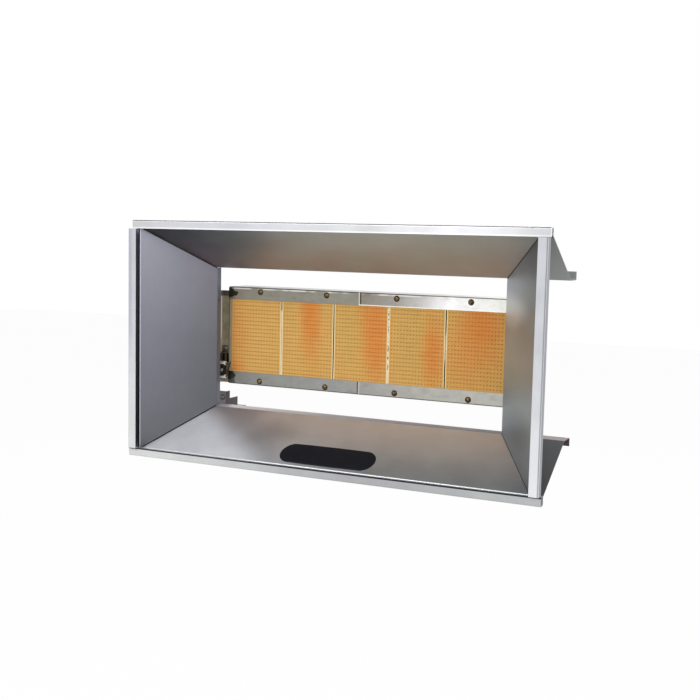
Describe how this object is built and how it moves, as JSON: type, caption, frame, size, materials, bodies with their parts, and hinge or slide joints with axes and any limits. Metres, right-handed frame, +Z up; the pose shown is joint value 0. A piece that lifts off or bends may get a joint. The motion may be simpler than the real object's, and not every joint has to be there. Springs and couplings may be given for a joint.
{
  "type": "propane radiant heater",
  "caption": "Hanging gas radiant heater: ceramic burner tiles at the back of a folded sheet metal reflector funnel, with gas valve, mixing tube and spark electrodes.",
  "frame": {"origin": "centre of the four hanging holes, on the rear face of the two rear lips", "axes": "the open front faces -Y, +Y points to the burner's back, +X to the right of someone who looks into the heater, +Z up"},
  "size_m": [0.672, 0.2128, 0.372],
  "materials": {
    "reflector_top": "satin aluminised sheet steel, warm grey",
    "reflector_bottom": "satin aluminised sheet steel",
    "reflector_left": "satin aluminised sheet steel, blue grey",
    "reflector_right": "satin aluminised sheet steel",
    "burner_steel": "aluminised steel, dulled by heat",
    "ceramic_fibre": "cream ceramic fibre packing",
    "burner_ceramic": "perforated cordierite burner plaque, golden from heat",
    "clamp_steel": "stainless strip, heat stained",
    "brass_screws": "aged brass",
    "zinc_screws": "zinc plated",
    "bracket_steel": "sheet steel, heat stained",
    "black_iron": "black oxide",
    "white_porcelain": "glazed porcelain",
    "electrode_wire": "scaled heat resistant wire",
    "black_silicone": "matt silicone",
    "red_silicone": "matt silicone",
    "shelf_steel": "galvanised sheet steel",
    "valve_casting": "die cast, fine blasted",
    "black_plastic": "fine texture moulding",
    "pipe_aluminium": "drawn tube",
    "brass_fitting": "machined brass"
  },
  "bodies": {
    "heater": {"top_reflector": "reflector_top", "bottom_reflector": "reflector_bottom", "left_reflector": "reflector_left", "right_reflector": "reflector_right", "tab_screws": "zinc_screws", "burner_box": "burner_steel", "tile_ledge": "burner_steel", "tile_gasket": "ceramic_fibre", "tile_1": "burner_ceramic", "tile_2": "burner_ceramic", "tile_3": "burner_ceramic", "tile_4": "burner_ceramic", "tile_5": "burner_ceramic", "clamp_top_left": "clamp_steel", "clamp_top_right": "clamp_steel", "clamp_bottom_left": "clamp_steel", "clamp_bottom_right": "clamp_steel", "clamp_screws": "brass_screws", "mixing_tube": "burner_steel", "gas_baffle": "burner_steel", "left_end_bracket": "bracket_steel", "right_end_bracket": "bracket_steel", "bracket_screws": "zinc_screws", "electrode_bracket": "bracket_steel", "electrode_clamp": "black_iron", "electrode_screws": "zinc_screws", "spark_insulator": "white_porcelain", "spark_rod": "electrode_wire", "sensor_insulator": "white_porcelain", "sensor_rod": "electrode_wire", "spark_lead": "black_silicone", "sensor_lead": "red_silicone", "control_shelf": "shelf_steel", "shelf_screws": "zinc_screws", "gas_valve": "valve_casting", "valve_bonnet": "valve_casting", "supply_pipe": "pipe_aluminium", "orifice_elbow": "brass_fitting", "module_bracket": "shelf_steel", "ignition_module": "black_plastic", "module_screws": "zinc_screws"},
    "knob": {"valve_knob": "black_plastic"}
  },
  "joints": [
    {"name": "knob_turn", "type": "hinge", "parent": "heater", "child": "knob", "pos_m": [-0.3088, 0.055, -0.1059], "axis": [0, 1, 0], "range_deg": [0, 90]}
  ]
}
